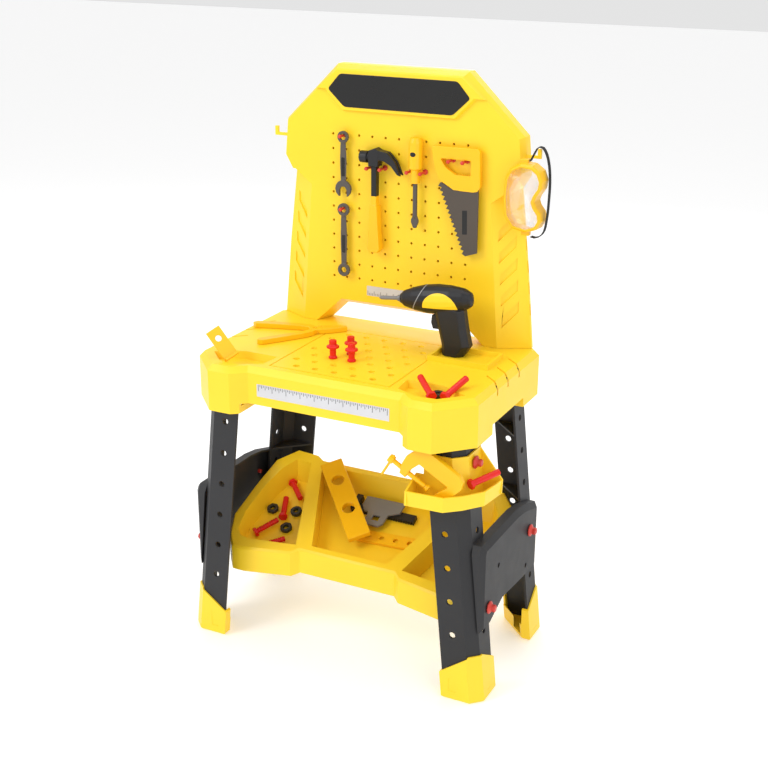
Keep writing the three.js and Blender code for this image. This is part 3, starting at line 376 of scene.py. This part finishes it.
def finish_cad_nodes():
    slots = {entry["node"]: entry["material_slot"] for entry in frame["record"]["subparts"]}
    for name in nodes:
        paint(nodes[name], slots[name])
    for name, material in two_tone().items():
        nodes[name].data.materials[0] = material
    for name, width in CRISP.items():
        crisp(name, width)
    for name, voxel in SOFT.items():
        soft(name, voxel)
    ready("goggles_lens")


# ---- New pieces ----------------------------------------------------------------------------
def piece_from(bm, name, slot, body, matrix):
    """Makes an object of a finished bmesh, places it and lets it ride on a body."""
    bmesh.ops.recalc_face_normals(bm, faces=bm.faces)
    mesh = bpy.data.meshes.new(name)
    bm.to_mesh(mesh)
    bm.free()
    piece = bpy.data.objects.new(name, mesh)
    bpy.context.scene.collection.objects.link(piece)
    piece.matrix_world = matrix
    paint(piece, slot)
    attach(piece, body)
    return piece


def rounded(points, radius, steps=4):
    """The polygon with each corner turned into an arc."""
    out = []
    count = len(points)
    for i in range(count):
        here = Vector(points[i])
        before = (Vector(points[i - 1]) - here)
        after = (Vector(points[(i + 1) % count]) - here)
        reach = min(radius, before.length * 0.45, after.length * 0.45)
        start = here + before.normalized() * reach
        end = here + after.normalized() * reach
        for k in range(steps + 1):
            t = k / steps
            out.append(start.lerp(here, t).lerp(here.lerp(end, t), t))
    return out


def slab(name, outline, thickness, slot, body, matrix, edge=0.4):
    """A flat piece of an outline in mm, drawn in XY and rising along +Z, with bevelled edges."""
    bm = bmesh.new()
    ring = [bm.verts.new((x * MM, y * MM, 0)) for x, y in outline]
    face = bm.faces.new(ring)
    top = bmesh.ops.extrude_face_region(bm, geom=[face])
    lifted = [v for v in top["geom"] if isinstance(v, bmesh.types.BMVert)]
    bmesh.ops.translate(bm, verts=lifted, vec=(0, 0, thickness * MM))
    piece = piece_from(bm, name, slot, body, matrix)
    bevel = piece.modifiers.new("bevel", "BEVEL")
    bevel.width = min(edge, thickness * 0.4) * MM
    bevel.segments = 2
    bevel.angle_limit = math.radians(40)
    return piece


def box_outline(x0, x1, y0, y1):
    return [(x0, y0), (x1, y0), (x1, y1), (x0, y1)]


def lathe(name, profile, slot, body, matrix, sides):
    """A turned piece of (radius, height) pairs in mm, with a flat bottom and top."""
    bm = bmesh.new()
    rings = []
    for radius, height in profile:
        ring = []
        for i in range(sides):
            angle = 2 * math.pi * i / sides
            place = (radius * math.cos(angle) * MM, radius * math.sin(angle) * MM, height * MM)
            ring.append(bm.verts.new(place))
        rings.append(ring)
    for low, high in zip(rings, rings[1:]):
        for i in range(sides):
            j = (i + 1) % sides
            bm.faces.new((low[i], low[j], high[j], high[i]))
    bm.faces.new(rings[0][::-1])
    bm.faces.new(rings[-1])
    for face in bm.faces:
        face.smooth = len(face.verts) == 4
    return piece_from(bm, name, slot, body, matrix)


def facing_front(depth):
    """A place for a flat piece drawn in XY: `depth` mm from the board's face, facing the front."""
    return Matrix.Translation(from_board(0, depth, 0)) @ FACING_FRONT


def ruler():
    """Silver ruler labels along the front apron and on the board, with generic tick marks."""
    pods_stand_out = 0.0203
    front_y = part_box("bench_top")[0].y + pods_stand_out
    low_z = 487.5
    high_z = 509.3
    half = 122.4
    label_y = (front_y - board_y) / MM
    matrix = facing_front(label_y)
    slab("ruler_label", box_outline(-half, half, low_z, high_z), 0.5, "silver_label", "root", matrix, 0.1)
    inches = 9
    step = 2 * half / (inches * 8 + 2)
    marks = bmesh.new()
    lengths = {0: 11.0, 4: 7.5, 2: 5.5, 6: 5.5}
    for i in range(inches * 8 + 1):
        x = -half + step * (i + 1)
        length = lengths.get(i % 8, 3.5)
        add_plate(marks, x - 0.35, x + 0.35, high_z - 1 - length, high_z - 1, 0.5, 0.7)
    piece_from(marks, "ruler_ticks", "label_black", "root", matrix)
    small = bmesh.new()
    board_low = 597
    board_high = 615
    add_plate(small, -61, 30, board_low, board_high, 0, 0.5)
    board_face = facing_front(-0.1)
    piece_from(small, "board_ruler_label", "silver_label", "root", board_face)
    ticks = bmesh.new()
    for i in range(29):
        x = -59 + i * 3.15
        length = 8 if i % 4 == 0 else 4
        add_plate(ticks, x - 0.3, x + 0.3, board_low + 1, board_low + 1 + length, 0.5, 0.7)
    piece_from(ticks, "board_ruler_ticks", "label_black", "root", board_face)


def add_plate(bm, x0, x1, y0, y1, z0, z1):
    """Adds a plain box, in mm, to a bmesh."""
    corners = [(x0, y0), (x1, y0), (x1, y1), (x0, y1)]
    low = [bm.verts.new((x * MM, y * MM, z0 * MM)) for x, y in corners]
    high = [bm.verts.new((x * MM, y * MM, z1 * MM)) for x, y in corners]
    bm.faces.new(low[::-1])
    bm.faces.new(high)
    for i in range(4):
        j = (i + 1) % 4
        bm.faces.new((low[i], low[j], high[j], high[i]))


def blank_labels():
    """Plain black label plates, with nothing printed on them."""
    header_y = -7.1
    header = [(-100.9, 927.9), (100.9, 927.9), (132.3, 957), (108.8, 983.5), (-108.8, 983.5), (-132.3, 957)]
    slab("header_label", rounded(header, 5), 1.0, "label_black", "root",
         facing_front(header_y))
    wrench_x = -101.6
    slab("wrench_open_label", rounded(box_outline(wrench_x - 3.4, wrench_x + 3.4, 809, 842), 2), 0.4,
         "label_black", "wrench_open", facing_front(-11.3))
    slab("wrench_ring_label", rounded(box_outline(wrench_x - 3.4, wrench_x + 3.4, 673, 705), 2), 0.4,
         "label_black", "wrench_ring", facing_front(-11.3))
    slab("saw_label", rounded([(126, 732), (135, 733), (134, 774), (125, 773)], 1), 0.3,
         "label_black", "saw", facing_front(-13.4))


def play_bolt(name, matrix, length=50):
    """A loose toy bolt: hexagonal head and a shank with coarse ridges, lying along +X."""
    along_x = matrix @ Matrix.Rotation(math.radians(90), 4, "Y")
    profile = [(0.01, 5), (5.0, 5)]
    z = 8
    while z < length - 4:
        profile += [(4.5, z), (5.4, z + 1.1), (5.4, z + 2.1), (4.5, z + 3.2)]
        z += 4.2
    profile += [(4.8, length - 1), (4.0, length), (0.01, length)]
    lathe(name + "_shank", profile, "red_plastic", "root", along_x, 24)
    head = lathe(name + "_head", [(8.2, 0), (9, 0.8), (9, 5.2), (8.2, 6)], "red_plastic", "root", along_x, 6)
    for face in head.data.polygons:
        face.use_smooth = False


def play_nut(name, matrix):
    """A toy nut with a lobed rim and a round hole."""
    bm = bmesh.new()
    sides = 36
    rings = []
    profile = [(5.2, 0.5), (5.2, 6.5), (6, 7), (10, 7), (11, 6), (11, 1), (10, 0), (6, 0)]
    for i in range(sides):
        angle = 2 * math.pi * i / sides
        lobe = 1 + 0.035 * math.cos(6 * angle)
        ring = []
        for radius, height in profile:
            r = radius * (lobe if radius > 7 else 1)
            ring.append(bm.verts.new((r * math.cos(angle) * MM, r * math.sin(angle) * MM, height * MM)))
        rings.append(ring)
    for i in range(sides):
        here = rings[i]
        after = rings[(i + 1) % sides]
        for k in range(len(profile)):
            n = (k + 1) % len(profile)
            bm.faces.new((here[k], after[k], after[n], here[n]))
    for face in bm.faces:
        face.smooth = True
    return piece_from(bm, name, "nut_plastic", "root", matrix)


def on_floor(x, y, height=0.8):
    """A level place on the floor of a bin, for a piece drawn with its base at z = 0."""
    return lay_along(on_shelf(x, y, height), on_shelf(x + 10, y, height), SHELF_UP)


def loose_hardware():
    """Bolts and nuts in the left and right bins."""
    play_bolt("front_bolt", lay_along(on_shelf(-213, -160, 10), on_shelf(-183, -120, 10), SHELF_UP))
    play_bolt("corner_side_bolt", lay_along(on_shelf(-188, -186, 10), on_shelf(-148, -156, 10), SHELF_UP))
    play_nut("bin_nut_a", on_floor(-211, -95))
    play_nut("bin_nut_b", on_floor(-163, -128))
    play_nut("bin_nut_c", on_floor(-133, -173))
    pod_floor = table_z - 12.6 * MM
    nut_place = from_board(183, -228, 0)
    nut_place.z = pod_floor
    play_nut("pod_nut", Matrix.Translation(nut_place))


make_camera()
make_studio()
finish_cad_nodes()
ruler()
blank_labels()
loose_hardware()
